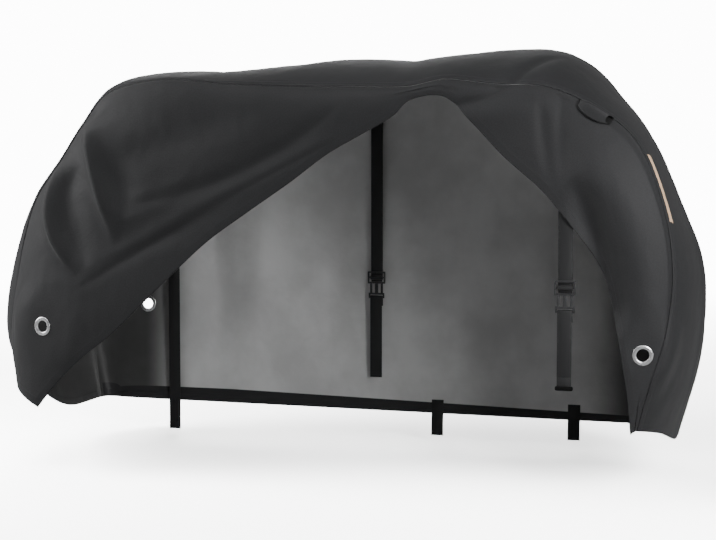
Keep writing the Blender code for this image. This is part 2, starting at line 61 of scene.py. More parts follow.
def set_inputs(tree, node, inputs):
    """Sets inputs of a shader node, or links them to outputs of others."""
    for key, value in inputs.items():
        if isinstance(value, bpy.types.NodeSocket):
            tree.links.new(value, node.inputs[key])
        else:
            node.inputs[key].default_value = value


def add_node(tree, kind, inputs=(), **settings):
    """A shader node with its settings and its inputs."""
    made = tree.nodes.new("ShaderNode" + kind)
    for key, value in settings.items():
        setattr(made, key, value)
    set_inputs(tree, made, dict(inputs))
    return made


def calculate(tree, operation, *values):
    """The output of a math node."""
    made = add_node(tree, "Math", dict(enumerate(values)), operation=operation)
    return made.outputs[0]


def ramp(tree, value, start, end, low=0.0, high=1.0):
    """A value eased from low to high between two of its values."""
    inputs = {"Value": value, "From Min": start, "From Max": end, "To Min": low, "To Max": high}
    return add_node(tree, "MapRange", inputs, interpolation_type="SMOOTHSTEP").outputs["Result"]


floor_mesh = bmesh.new()
bmesh.ops.create_grid(floor_mesh, x_segments=1, y_segments=1, size=FLOOR_SIZE,
                      matrix=Matrix.Translation((0.0, 0.0, GROUND)))
floor_data = bpy.data.meshes.new("floor")
floor_mesh.to_mesh(floor_data)
floor_mesh.free()
floor = bpy.data.objects.new("floor", floor_data)
bpy.context.scene.collection.objects.link(floor)
floor_paint, paint = new_material("floor_paint")
seen_straight = add_node(paint, "LightPath").outputs["Is Camera Ray"]
brightness = ramp(paint, seen_straight, 0.0, 1.0, FLOOR_WHITE, FLOOR_SEEN)
matt_floor = add_node(paint, "BsdfDiffuse", {"Color": brightness})
far_floor = add_node(paint, "Emission", {"Color": WHITE, "Strength": BACKDROP})
from_middle = add_node(paint, "VectorMath", {0: add_node(paint, "TexCoord").outputs["Object"]},
                       operation="LENGTH").outputs["Value"]
sweep = calculate(paint, "MULTIPLY", ramp(paint, from_middle, SWEEP_FROM, SWEEP_TO),
                  seen_straight)
seamless = add_node(paint, "MixShader", {0: sweep, 1: matt_floor.outputs[0],
                                         2: far_floor.outputs[0]})
set_inputs(paint, paint.nodes["Material Output"], {"Surface": seamless.outputs[0]})
floor_data.materials.append(floor_paint)

world = bpy.data.worlds.new("white_room")
world.use_nodes = True
bpy.context.scene.world = world
sky = world.node_tree
seen_sky = add_node(sky, "LightPath").outputs["Is Camera Ray"]
set_inputs(sky, sky.nodes["Background"], {
    "Color": WHITE, "Strength": ramp(sky, seen_sky, 0.0, 1.0, ROOM_LIGHT, BACKDROP)})

# Each soft box: its place, what it is turned to, width, height, spread, watts.
SOFT_BOXES = {
    "top_light": ((-0.9, -2.4, 2.6), (-0.2, 0.0, -0.3), 3.0, 1.8, 180, 48.0),
    "left_light": ((-3.3, -1.0, 0.9), (-0.5, 0.0, -0.4), 1.8, 2.2, 180, 108.0),
    "right_light": ((2.6, -2.2, 0.2), (1.0, 0.0, -0.45), 1.5, 1.5, 75, 21.0),
    "back_light": ((-1.4, 4.4, 0.5), (0.0, 0.4, -0.6), 2.4, 2.0, 180, 90.0),
}
for name, (place, aim, width, height, spread, watts) in SOFT_BOXES.items():
    light = bpy.data.lights.new(name, "AREA")
    light.shape = "RECTANGLE"
    light.size = width
    light.size_y = height
    light.spread = math.radians(spread)
    light.energy = watts
    lamp = bpy.data.objects.new(name, light)
    lamp.visible_camera = False
    lamp.location = place
    lamp.rotation_euler = (Vector(aim) - Vector(place)).to_track_quat("-Z", "Y").to_euler()
    bpy.context.scene.collection.objects.link(lamp)

LENS, SENSOR = 90.5, 36.0
CAMERA_PLACE = (1.356, -5.068, -0.189)
CAMERA_DOWN, CAMERA_TURN = 0.079, 0.2545
lens = bpy.data.cameras.new("camera")
lens.sensor_fit = "HORIZONTAL"
lens.sensor_width = SENSOR
lens.lens = LENS
camera = bpy.data.objects.new("camera", lens)
camera.location = CAMERA_PLACE
camera.rotation_euler = (math.pi / 2.0 - CAMERA_DOWN, 0.0, CAMERA_TURN)
bpy.context.scene.collection.objects.link(camera)
bpy.context.scene.camera = camera

# ------------------- near side panel
# The near side of the cover, cut from coated polyester and felled to the top
# strip. Its hem is drawn up in a wide arch, and the cloth hangs from there in
# long diagonal folds and two deep hollows over the rear corner.
HANG_COLUMNS = ("seam_x", "seam_h", "near", "far", "rise", "tuck",
                "hem_x", "hem_h", "hem_y", "turn", "belly")
HANG = (
    (-0.940, 0.262, 0.180, 0.400, 0.055, 0.00, -0.820, 0.195, 0.350, 0.15, 0.000),
    (-0.960, 0.335, 0.185, 0.410, 0.070, 0.00, -0.770, 0.255, 0.355, 0.15, 0.005),
    (-0.966, 0.420, 0.190, 0.420, 0.080, 0.00, -0.715, 0.310, 0.360, 0.15, 0.010),
    (-0.945, 0.545, 0.200, 0.430, 0.075, 0.00, -0.655, 0.360, 0.370, 0.15, 0.015),
    (-0.908, 0.680, 0.225, 0.440, 0.060, 0.00, -0.580, 0.415, 0.380, 0.17, 0.020),
    (-0.855, 0.795, 0.255, 0.450, 0.050, 0.00, -0.490, 0.495, 0.400, 0.20, 0.020),
    (-0.758, 0.905, 0.300, 0.455, 0.045, 0.00, -0.385, 0.590, 0.415, 0.22, 0.020),
    (-0.670, 1.005, 0.345, 0.460, 0.045, 0.00, -0.275, 0.685, 0.430, 0.25, 0.020),
    (-0.570, 1.092, 0.395, 0.460, 0.048, 0.00, -0.150, 0.770, 0.445, 0.30, 0.022),
    (-0.400, 1.125, 0.440, 0.460, 0.034, 0.00, -0.030, 0.850, 0.455, 0.35, 0.024),
    (-0.220, 1.113, 0.450, 0.460, 0.050, 0.00, 0.070, 0.922, 0.462, 0.35, 0.024),
    (-0.030, 1.105, 0.450, 0.460, 0.082, 0.00, 0.165, 0.975, 0.466, 0.35, 0.022),
    (0.160, 1.103, 0.450, 0.460, 0.086, 0.00, 0.250, 1.022, 0.468, 0.35, 0.016),
    (0.290, 1.103, 0.455, 0.460, 0.090, 0.00, 0.300, 1.066, 0.468, 0.35, 0.008),
    (0.390, 1.121, 0.455, 0.460, 0.080, 0.00, 0.385, 1.076, 0.468, 0.35, 0.008),
    (0.520, 1.108, 0.450, 0.460, 0.108, 0.01, 0.452, 1.020, 0.468, 0.35, 0.014),
    (0.660, 1.098, 0.450, 0.460, 0.108, 0.03, 0.545, 0.922, 0.468, 0.35, 0.018),
    (0.790, 1.040, 0.450, 0.460, 0.060, 0.05, 0.655, 0.825, 0.468, 0.35, 0.020),
    (0.890, 0.955, 0.450, 0.460, 0.034, 0.07, 0.740, 0.715, 0.468, 0.35, 0.020),
    (0.957, 0.790, 0.450, 0.460, 0.034, 0.07, 0.802, 0.610, 0.468, 0.35, 0.018),
    (0.981, 0.630, 0.450, 0.460, 0.062, 0.05, 0.834, 0.480, 0.468, 0.35, 0.014),
    (0.968, 0.485, 0.450, 0.460, 0.076, 0.03, 0.856, 0.375, 0.466, 0.35, 0.010),
    (0.930, 0.350, 0.445, 0.455, 0.085, 0.01, 0.872, 0.290, 0.460, 0.35, 0.006),
    (0.893, 0.212, 0.430, 0.445, 0.070, 0.00, 0.878, 0.204, 0.445, 0.35, 0.002),
)
FAR_HEM_REAR = (-0.88, 0.43, 0.110)
FAR_HEM_FRONT = (0.87, 0.445, 0.088)
FAR_TURN, FAR_BULGE = 0.25, 0.02
# The roundness of the strip, and how far its two ends drop to the far side.
CROWN = 2.6
SHOULDER = 1.5
END_SHARE = 0.20
DROP_WIDTH = 0.50
REAR_DROP, FRONT_DROP = 0.150, 0.075

# Folds in side view: three places on each, how far it spreads to its left and
# right as it runs, how high it stands (below 0 it is a trough), and how sharp
# its crest is.
FOLD_COLUMNS = ("x0", "h0", "x1", "h1", "x2", "h2", "left", "right", "height", "crest")
NEAR_FOLDS = (
    (-0.654, 1.100, -0.608, 0.886, -0.552, 0.670, 0.090, 0.026, 0.042, 1.5),
    (-0.612, 0.985, -0.556, 0.865, -0.510, 0.745, 0.062, 0.042, -0.030, 2.0),
    (-0.652, 1.095, -0.613, 0.890, -0.560, 0.690, 0.024, 0.020, 0.0040, 2.0),
    (-0.700, 0.950, -0.764, 0.760, -0.680, 0.580, 0.075, 0.024, 0.039, 1.45),
    (-0.668, 0.890, -0.716, 0.757, -0.630, 0.610, 0.055, 0.040, -0.030, 2.0),
    (-0.704, 0.945, -0.768, 0.757, -0.684, 0.577, 0.022, 0.020, 0.0035, 2.0),
    (-0.560, 0.890, -0.341, 0.975, -0.080, 1.050, 0.060, 0.060, -0.008, 2.0),
    (-0.715, 0.519, -0.278, 0.766, 0.200, 1.010, 0.018, 0.024, -0.009, 1.6),
    (-0.626, 0.620, -0.177, 0.820, 0.190, 1.010, 0.034, 0.022, 0.007, 2.0),
    (-0.534, 0.778, -0.163, 0.880, 0.130, 1.073, 0.026, 0.032, -0.009, 1.7),
    (-0.540, 0.735, -0.430, 0.775, -0.330, 0.840, 0.024, 0.028, 0.003, 1.6),
    (-0.510, 0.805, -0.400, 0.830, -0.300, 0.870, 0.022, 0.024, 0.002, 1.6),
    (0.370, 1.046, 0.490, 1.072, 0.600, 1.145, 0.014, 0.018, -0.012, 1.5),
    (0.400, 1.010, 0.540, 1.030, 0.680, 1.070, 0.036, 0.036, 0.005, 2.0),
    (0.638, 1.100, 0.653, 0.960, 0.675, 0.840, 0.020, 0.018, -0.006, 2.0),
    (0.697, 1.100, 0.698, 0.960, 0.708, 0.830, 0.020, 0.018, -0.006, 2.0),
    (0.690, 1.130, 0.715, 0.970, 0.745, 0.840, 0.050, 0.045, -0.010, 2.0),
    (0.726, 0.865, 0.800, 0.660, 0.872, 0.240, 0.062, 0.055, -0.050, 2.0),
    (0.665, 1.060, 0.828, 0.775, 0.890, 0.340, 0.120, 0.070, 0.034, 2.0),
)
FAR_FOLDS = (
    (-0.720, 0.980, -0.560, 0.620, -0.560, 0.200, 0.070, 0.060, 0.018, 1.8),
    (-0.420, 1.060, -0.400, 0.700, -0.440, 0.240, 0.060, 0.070, -0.014, 2.0),
    (-0.160, 1.060, -0.130, 0.620, -0.210, 0.180, 0.070, 0.080, 0.012, 1.8),
    (0.080, 1.060, 0.060, 0.660, 0.120, 0.220, 0.070, 0.070, -0.012, 2.0),
    (0.280, 1.080, 0.240, 0.640, 0.290, 0.180, 0.060, 0.070, 0.014, 1.8),
    (0.520, 1.060, 0.500, 0.640, 0.540, 0.220, 0.070, 0.060, -0.013, 2.0),
    (0.800, 0.960, 0.680, 0.620, 0.700, 0.200, 0.060, 0.070, 0.016, 1.8),
    (-0.880, 0.620, -0.500, 0.800, -0.050, 1.000, 0.060, 0.050, -0.010, 2.0),
    (0.940, 0.720, 0.600, 0.850, 0.240, 1.000, 0.050, 0.060, -0.010, 2.0),
)
# The same for the strip from above, where h counts towards the far side.
TOP_FOLDS = (
    (0.560, -0.470, 0.600, -0.400, 0.690, -0.260, 0.016, 0.020, -0.010, 1.6),
    (-0.380, -0.440, -0.330, -0.200, -0.360, 0.120, 0.050, 0.060, -0.008, 2.0),
    (-0.120, -0.400, -0.060, -0.120, -0.100, 0.300, 0.060, 0.060, -0.007, 2.0),
    (0.280, -0.420, 0.240, -0.100, 0.300, 0.340, 0.060, 0.050, -0.008, 2.0),
)
# The same for its two ends, where x counts towards the far side.
END_FOLDS = (
    (-0.180, 0.960, -0.110, 0.640, -0.120, 0.180, 0.050, 0.060, 0.012, 1.8),
    (0.020, 0.900, 0.040, 0.560, 0.020, 0.160, 0.060, 0.070, -0.012, 2.0),
    (0.360, 0.960, 0.200, 0.620, 0.170, 0.160, 0.060, 0.050, 0.014, 1.8),
)
END_FOLDS_FROM_TO = (0.72, 0.92)
# Steps along a fold, the width over which its two sides meet, how narrow it is
# at its ends, and how fast it rises from them.
FOLD_STEPS = 18
FOLD_BLEND = 0.016
FOLD_TIP = 0.35
FOLD_RISE = 1.2
# How far from each seam the folds come to their full height.
NEAR_EASE, FAR_EASE, STRIP_EASE = 0.12, 0.18, 0.03
LOOK_AHEAD, LOOK_BESIDE = 0.004, 0.012
EYELET_NODES = ("near_rear_eyelet", "near_front_eyelet", "far_rear_eyelet", "far_front_eyelet")


def smooth(value):
    value = np.clip(value, 0.0, 1.0)
    return value * value * (3.0 - 2.0 * value)


def between(value, start, full):
    return smooth((value - start) / (full - start))


def unit(vectors):
    return vectors / np.maximum(np.linalg.norm(vectors, axis=-1, keepdims=True), 1e-12)


def curve(t, start, bend, end):
    """Places on a curve that leaves its start towards bend."""
    return start * (1 - t) ** 2 + bend * 2 * t * (1 - t) + end * t ** 2


def hang_at(along):
    """The columns of HANG at places along the cover, from 0 to 1, on smooth
    curves through its rows."""
    table = np.array(HANG)
    last = len(table) - 1
    spot = np.clip(along, 0.0, 1.0) * last
    cell = np.minimum(spot.astype(int), last - 1)
    t = (spot - cell)[:, None]
    a, b = table[np.maximum(cell - 1, 0)], table[cell]
    c, d = table[cell + 1], table[np.minimum(cell + 2, last)]
    bend = (2 * a - 5 * b + 4 * c - d) + t * (3 * b - a - 3 * c + d)
    rows = b + 0.5 * t * ((c - a) + t * bend)
    return dict(zip(HANG_COLUMNS, rows.T))


def strip_place(rows, along, across):
    """The strip between the seams, from the rear foot over the top."""
    side = np.sin(math.pi * (across - 0.5))
    arch = (1.0 - np.abs(side) ** CROWN) ** (1.0 / SHOULDER)
    share = 0.5 + 0.5 * side
    out = rows["rise"] * arch - rows["tuck"] * smooth(share)
    y = -rows["near"] + (rows["far"] + rows["near"]) * share
    ahead = hang_at(np.minimum(along + 0.5 / len(HANG), 1.0))
    behind = hang_at(np.maximum(along - 0.5 / len(HANG), 0.0))
    run_x, run_h = ahead["seam_x"] - behind["seam_x"], ahead["seam_h"] - behind["seam_h"]
    length = np.hypot(run_x, run_h)
    rear_end = np.clip(1.0 - along / END_SHARE, 0.0, 1.0) ** 2
    front_end = np.clip(1.0 - (1.0 - along) / END_SHARE, 0.0, 1.0) ** 2
    lowered = REAR_DROP * rear_end + FRONT_DROP * front_end
    drop = smooth((y + rows["near"]) / DROP_WIDTH) * lowered
    return np.stack([rows["seam_x"] - run_h / length * out, y,
                     rows["seam_h"] + run_x / length * out - drop], -1)


def hung(along, across):
    """The cloth before its folds: across runs from -1 at the near hem to 0 at
    the near seam, 1 at the far seam and 2 at the far hem."""
    rows = hang_at(along)
    near_seam = strip_place(rows, along, np.zeros_like(along))
    near_hem = np.stack([rows["hem_x"], -rows["hem_y"], rows["hem_h"]], -1)
    near_turn = near_seam + (near_hem - near_seam) * rows["turn"][:, None]
    near_turn[:, 1] = -(rows["hem_y"] + rows["belly"])
    down = np.clip(-across, 0.0, 1.0)[:, None]
    near = curve(down, near_seam, near_turn, near_hem)
    far_seam = strip_place(rows, along, np.ones_like(along))
    reach = 0.5 * along + 0.5 * (rows["seam_x"] - HANG[0][0]) / (HANG[-1][0] - HANG[0][0])
    far_hem = np.array(FAR_HEM_REAR) + (np.array(FAR_HEM_FRONT) - FAR_HEM_REAR) * reach[:, None]
    far_turn = far_seam + (far_hem - far_seam) * FAR_TURN
    far_turn[:, 1] = np.maximum(rows["far"], far_hem[:, 1]) + FAR_BULGE
    down = np.clip(across - 1.0, 0.0, 1.0)[:, None]
    far = curve(down, far_seam, far_turn, far_hem)
    strip = strip_place(rows, along, np.clip(across, 0.0, 1.0))
    places = np.where((across < 0.0)[:, None], near, strip)
    return np.where((across > 1.0)[:, None], far, places)


def outward(surface, along, across):
    """Directions square to a surface, even across the seams."""
    ahead = surface(np.minimum(along + LOOK_AHEAD, 1.0), across)
    behind = surface(np.maximum(along - LOOK_AHEAD, 0.0), across)
    here = surface(along, across)
    left = unit(here - surface(along, np.maximum(across - LOOK_BESIDE, -1.0)))
    right = unit(surface(along, np.minimum(across + LOOK_BESIDE, 2.0)) - here)
    return unit(np.cross(ahead - behind, left + right))


def fold_height(folds, x, height):
    """How far the folds stand out at places in side view."""
    total = np.zeros_like(x)
    t = np.linspace(0.0, 1.0, FOLD_STEPS + 1)
    for row in folds:
        fold = dict(zip(FOLD_COLUMNS, row))
        bend_x = 2.0 * fold["x1"] - 0.5 * (fold["x0"] + fold["x2"])
        bend_h = 2.0 * fold["h1"] - 0.5 * (fold["h0"] + fold["h2"])
        line_x = curve(t, fold["x0"], bend_x, fold["x2"])
        line_h = curve(t, fold["h0"], bend_h, fold["h2"])
        nearest = np.full_like(x, np.inf)
        side, position = np.zeros_like(x), np.zeros_like(x)
        for i in range(len(t) - 1):
            run_x, run_h = line_x[i + 1] - line_x[i], line_h[i + 1] - line_h[i]
            off_x, off_h = x - line_x[i], height - line_h[i]
            share = (off_x * run_x + off_h * run_h) / (run_x ** 2 + run_h ** 2)
            share = np.clip(share, 0.0, 1.0)
            distance = np.hypot(off_x - share * run_x, off_h - share * run_h)
            closer = distance < nearest
            nearest = np.where(closer, distance, nearest)
            beside = (run_x * off_h - run_h * off_x) / np.hypot(run_x, run_h)
            side = np.where(closer, beside, side)
            position = np.where(closer, t[i] + share * (t[1] - t[0]), position)
        taper = np.sin(math.pi * position)
        leftness = smooth(0.5 + side / FOLD_BLEND)
        width = fold["right"] + (fold["left"] - fold["right"]) * leftness
        width = width * (FOLD_TIP + (1.0 - FOLD_TIP) * taper)
        slope = np.exp(-(nearest / width) ** fold["crest"])
        total += fold["height"] * taper ** FOLD_RISE * slope
    return total


def folded(along, across):
    """The cloth with its folds."""
    places = hung(along, across)
    x, y, z = places.T
    height = between(-across, 0.0, NEAR_EASE) * fold_height(NEAR_FOLDS, x, z)
    height += between(across, 1.0, 1.0 + FAR_EASE) * fold_height(FAR_FOLDS, x, z)
    on_top = between(across, 0.0, STRIP_EASE) * between(1.0 - across, 0.0, STRIP_EASE)
    height += on_top * fold_height(TOP_FOLDS, x, y)
    at_end = on_top * between(np.abs(x), *END_FOLDS_FROM_TO)
    height += at_end * fold_height(END_FOLDS, y, z)
    return places + outward(hung, along, across) * height[:, None]


def eyelet_seat(node):
    """The middle and outward direction of an eyelet, from its own solid."""
    corners = np.array([vert.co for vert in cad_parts[node].data.vertices])
    middle = 0.5 * (corners.min(0) + corners.max(0))
    direction = np.linalg.svd(corners - corners.mean(0), full_matrices=False)[2][2]
    return middle, direction * np.sign(direction[1] * middle[1])


SEATS = [eyelet_seat(node) for node in EYELET_NODES]
CLOTH = 0.002
HELD_FROM_TO = (0.045, 0.150)


def crumple(places, scale, stretch):
    """Small uneven swells of the cloth, longer one way than the other."""
    spots = places * np.array(stretch) * scale
    return np.array([noise.noise(Vector(spot)) for spot in spots])


def cover_skin(along, across):
    """Places on the outer face in the part's frame, held flat at the eyelets."""
    places = folded(along, across)
    places[:, 2] += GROUND
    for middle, direction in SEATS:
        face = middle + direction * CLOTH * 0.5
        away = np.linalg.norm(places - face, axis=-1)
        held = 1.0 - between(away, *HELD_FROM_TO)
        places = places - (held * ((places - face) @ direction))[:, None] * direction
    return places


SET_ROWS_SHARE = 0.88
ALONG_LOOKS, ACROSS_LOOKS = 600, 61


def ruled(first_rows, length, inner_rows, last_rows):
    """Places along a length: set ones at both ends and even ones between. The
    set ones draw together where the length is short."""
    squeeze = min(1.0, SET_ROWS_SHARE * length / (first_rows[-1] + last_rows[-1]))
    first_rows, last_rows = np.array(first_rows) * squeeze, np.array(last_rows) * squeeze
    middle = np.linspace(first_rows[-1], length - last_rows[-1], inner_rows + 2)[1:-1]
    return np.concatenate([first_rows, middle, length - last_rows[::-1]])


def skin_grid(along, across):
    """Places on the outer face, with a row of across values for each column."""
    columns = np.repeat(along[:, None], across.shape[1], axis=1)
    return cover_skin(columns.ravel(), across.ravel()).reshape(*across.shape, 3)


def measured(grid, axis):
    """Distances along one way of a grid, from its first places."""
    steps = np.linalg.norm(np.diff(grid, axis=axis), axis=2)
    start = np.zeros_like(np.take(steps, [0], axis=axis))
    return np.concatenate([start, np.cumsum(steps, axis=axis)], axis=axis)


def columns_along(across, count):
    """Places along the cover: fine at its two hemmed ends, even between."""
    looks = np.linspace(0.0, 1.0, ALONG_LOOKS)
    line = cover_skin(looks, np.full_like(looks, across))
    run = np.concatenate([[0.0], np.cumsum(np.linalg.norm(np.diff(line, axis=0), axis=1))])
    spots = ruled(HEM_ROWS, run[-1], count - 2 * len(HEM_ROWS), HEM_ROWS)
    return np.interp(spots, run, looks)


def rows_across(along, first, last, count, first_rows, last_rows):
    """For each column the across values of its rows, the rows' distances from
    the first edge, and the whole distance to the last."""
    looks = np.linspace(0.0, 1.0, ACROSS_LOOKS)
    run = measured(skin_grid(along, np.tile(first + (last - first) * looks, (len(along), 1))), 1)
    distances = [ruled(first_rows, rib[-1], count, last_rows) for rib in run]
    shares = [np.interp(spots, rib, looks) for spots, rib in zip(distances, run)]
    return first + (last - first) * np.array(shares), np.array(distances), run[:, -1:]


def grid_normals(grid, up):
    """Directions square to a grid of places, on the side that up gives."""
    return up * unit(np.cross(np.gradient(grid, axis=0), np.gradient(grid, axis=1)))


WANDER_SCALE, WANDER = 7.0, 5.0
SWING_SCALE, SWING_MEAN, SWING = 3.0, 0.55, 0.9


def ruffle(run, length, seed):
    """The uneven gathers that a line of stitches pulls into cloth."""
    spots = run.ravel()
    wander = np.array([noise.noise(Vector((x * WANDER_SCALE, seed, 0.0))) for x in spots])
    swing = np.array([noise.noise(Vector((x * SWING_SCALE, seed, 5.0))) for x in spots])
    waves = np.sin(spots / length * 2.0 * math.pi + WANDER * wander)
    return (waves * (SWING_MEAN + SWING * swing)).reshape(run.shape)


def sheet_mesh(bm, outer, inner, values):
    """Adds a grid of outer places to a mesh. Its steps to the inner places and
    the given values are kept as attributes."""
    columns, rows = outer.shape[0] - 1, outer.shape[1] - 1
    layers = {key: bm.verts.layers.float.get(key) or bm.verts.layers.float.new(key)
              for key in (*values, "inside")}
    inward = (bm.verts.layers.float_vector.get("inward")
              or bm.verts.layers.float_vector.new("inward"))
    made = bmesh.ops.create_grid(bm, x_segments=columns, y_segments=rows, size=0.5)["verts"]
    for vert in made:
        i = round((vert.co.x + 0.5) * columns), round((vert.co.y + 0.5) * rows)
        vert.co = outer[i]
        vert[inward] = Vector(inner[i] - outer[i])
        for key, column in values.items():
            vert[layers[key]] = column[i]


def thicken(bm, faces):
    """Gives faces their inner side, each place moved by its inward step."""
    inward = bm.verts.layers.float_vector["inward"]
    inside = bm.verts.layers.float["inside"]
    sheet = bmesh.ops.extrude_face_region(bm, geom=faces, use_keep_orig=True)
    for item in sheet["geom"]:
        if isinstance(item, bmesh.types.BMVert):
            item.co += item[inward]
            item[inside] = 1.0


SHARP = 50.0


def show(name, bm, material, sharp=SHARP):
    """The finished, smooth-shaded object of a mesh, at the origin."""
    bmesh.ops.recalc_face_normals(bm, faces=bm.faces[:])
    data = bpy.data.meshes.new(name)
    bm.to_mesh(data)
    bm.free()
    data.shade_smooth()
    data.set_sharp_from_angle(angle=math.radians(sharp))
    data.materials.append(material)
    piece = bpy.data.objects.new(name, data)
    bpy.context.scene.collection.objects.link(piece)
    return piece


HEM_WIDTH = 0.025
HEM_EDGE = (0.0012, 0.0016)
HEM_RAISE, HEM_BACK = 0.0002, 0.0006
HEM_STITCH = 0.0222
HEM_GROOVE, HEM_GROOVE_WIDTH = 0.0002, 0.0011
EDGE_ROUND, EDGE_ROUND_TO = 0.0011, 0.0014
FELL = 0.0125
FELL_EDGE = (0.0010, 0.0012)
FELL_RAISE = 0.0012
FELL_TUCK, FELL_TUCK_TO = 0.0008, 0.0045
SEAM_LINE, FELL_LINE = 0.0022, FELL - 0.0028
FELL_GROOVE, FELL_GROOVE_WIDTH = 0.0004, 0.0009
SEAM_DIP, SEAM_DIP_TO = 0.0007, 0.0016
SEAM_TURN = (0.0005, 0.006)
# Swells of the free cloth: height, scale, and how they stretch along the axes.
BROAD_SWELL = (0.0016, 9.0, (1.0, 1.0, 1.4))
SMALL_SWELL = (0.0008, 24.0, (1.5, 1.0, 1.0))
SEAM_FREE, HEM_FREE, EYELET_FREE = (0.004, 0.060), (0.0, 0.035), (0.032, 0.075)
# Gathers beside stitches: their height, length and how far they reach.
SEAM_GATHERS, SEAM_GATHERS_FROM = (0.0006, 0.037), (0.001, 0.012)
HEM_GATHERS = (0.0004, 0.052)
GATHER_FADE = 0.022
EYELET_FLAT = (0.03, 0.07)
EYELET_CUT = 0.020
EYELET_CUT_REACH = 0.014
FAR_AWAY = 9.0
SEAM_ROWS = (0.0004, 0.0010, 0.0018, 0.0032, 0.0052, 0.0086, 0.0097, 0.0109, 0.0117,
             0.0135, 0.018, 0.025)
HEM_ROWS = (0.0, 0.0005, 0.0014, 0.0045, 0.0110, 0.0175, 0.0210, 0.0222, 0.0234,
            0.0245, 0.0262, 0.032)


def cloth_piece(name, material, first, last, columns, rows, two_seams, seats):
    """A cut panel of the cover with its hems turned and sewn. Its first edge is
    a seam, and so is its last with two_seams; the other edges are hems."""
    along = columns_along(0.5 * (first + last), columns)
    across, fall, reach = rows_across(along, first, last, rows,
                                      SEAM_ROWS, SEAM_ROWS if two_seams else HEM_ROWS)
    grid = skin_grid(along, across)
    run = measured(grid, 0)
    to_end = np.minimum(run, run[-1:] - run)
    seam_d = np.minimum(fall, reach - fall if two_seams else FAR_AWAY)
    hem_d = np.minimum(to_end, FAR_AWAY if two_seams else reach - fall)
    up = -1.0 if last > first else 1.0
    normal = grid_normals(grid, -up)
    for edge, near_edge in ((first, fall), (last, reach - fall)):
        if edge in (0.0, 1.0):
            shared = outward(cover_skin, along, np.full_like(along, edge))[:, None, :]
            near_edge = 1.0 - between(near_edge, *SEAM_TURN)[..., None]
            normal = unit(normal + (shared - normal) * near_edge)

    free = between(seam_d, *SEAM_FREE) * between(hem_d, *HEM_FREE)
    for middle, _ in seats:
        free *= between(np.linalg.norm(grid - middle, axis=-1), *EYELET_FREE)
    spots = grid.reshape(-1, 3)
    swell = BROAD_SWELL[0] * crumple(spots, *BROAD_SWELL[1:])
    swell = swell + SMALL_SWELL[0] * crumple(spots + 5.0, *SMALL_SWELL[1:])
    lift = free * swell.reshape(fall.shape)
    to_eyelet = np.min([np.linalg.norm(grid - middle, axis=-1) for middle, _ in SEATS], axis=0)
    flat = np.minimum(1.0, between(to_eyelet, *EYELET_FLAT))
    beside_seam = np.exp(-seam_d / GATHER_FADE) * between(seam_d, *SEAM_GATHERS_FROM)
    lift += SEAM_GATHERS[0] * ruffle(run, SEAM_GATHERS[1], first) * beside_seam * flat
    lift += HEM_GATHERS[0] * ruffle(run, HEM_GATHERS[1], last + 7.0) * np.exp(
        -hem_d / GATHER_FADE) * flat
    if two_seams:
        allowance = 1.0 - between(seam_d, FELL - FELL_EDGE[0], FELL + FELL_EDGE[1])
        raise_by = FELL_RAISE * allowance - SEAM_DIP * (1.0 - between(seam_d, 0.0, SEAM_DIP_TO))
        raise_by -= FELL_GROOVE * np.exp(-((seam_d - FELL_LINE) / FELL_GROOVE_WIDTH) ** 2)
    else:
        raise_by = -FELL_TUCK * (1.0 - between(seam_d, 0.0, FELL_TUCK_TO))
    turned = 1.0 - between(hem_d, HEM_WIDTH - HEM_EDGE[0], HEM_WIDTH + HEM_EDGE[1])
    groove = np.exp(-((hem_d - HEM_STITCH) / HEM_GROOVE_WIDTH) ** 2)
    raise_by += HEM_RAISE * turned - HEM_GROOVE * groove
    edge_round = EDGE_ROUND * (1.0 - between(hem_d, 0.0, EDGE_ROUND_TO))
    outer = grid + normal * (lift + raise_by - edge_round)[..., None]
    inner = grid + normal * (lift - CLOTH - HEM_BACK * turned + edge_round)[..., None]

    bm = bmesh.new()
    values = {"seam_distance": seam_d, "hem_distance": hem_d, "run": run, "fall": fall}
    sheet_mesh(bm, outer, inner, values)
    for middle, direction in seats:
        face, axis = Vector(middle + direction * CLOTH * 0.5), Vector(direction)
        hole = [f for f in bm.faces if (f.calc_center_median() - face).length < EYELET_CUT]
        bmesh.ops.delete(bm, geom=hole, context="FACES")
        for vert in bm.verts:
            if vert.is_boundary and (vert.co - face).length < EYELET_CUT + EYELET_CUT_REACH:
                spoke = vert.co - face
                spoke -= axis * spoke.dot(axis)
                vert.co = face + spoke.normalized() * EYELET_CUT
    thicken(bm, bm.faces[:])
    if two_seams:
        for seam in (0.0, 1.0):
            seam_tape(bm, seam)
    return show(name, bm, material)


CLOTH_BLACK = (0.0245, 0.0247, 0.0262)
COATING = (0.62, 0.62, 0.62)
THREAD = (0.025, 0.025, 0.027)
# The coating is painted darker towards both ends of the cover, as shade.
END_SHADE_FROM_TO = (0.62, 0.80)
END_SHADE = 0.10
WEAVE_PITCH = 0.0042
WEAVE_DEPTH, WRINKLE_DEPTH, STITCH_DEPTH = 0.00016, 0.0007, 0.0003
SEWN_PITCH, SEWN_WIDTH = 0.0070, 0.0022
OUTER_ROUGHNESS, INNER_ROUGHNESS = 0.66, 0.45


def new_group(name, inputs, outputs):
    """An empty node group and its two end nodes."""
    group = bpy.data.node_groups.new(name, "ShaderNodeTree")
    for key, kind in inputs:
        group.interface.new_socket(key, in_out="INPUT", socket_type="NodeSocket" + kind)
    for key in outputs:
        group.interface.new_socket(key, in_out="OUTPUT", socket_type="NodeSocketFloat")
    return group, group.nodes.new("NodeGroupInput"), group.nodes.new("NodeGroupOutput")


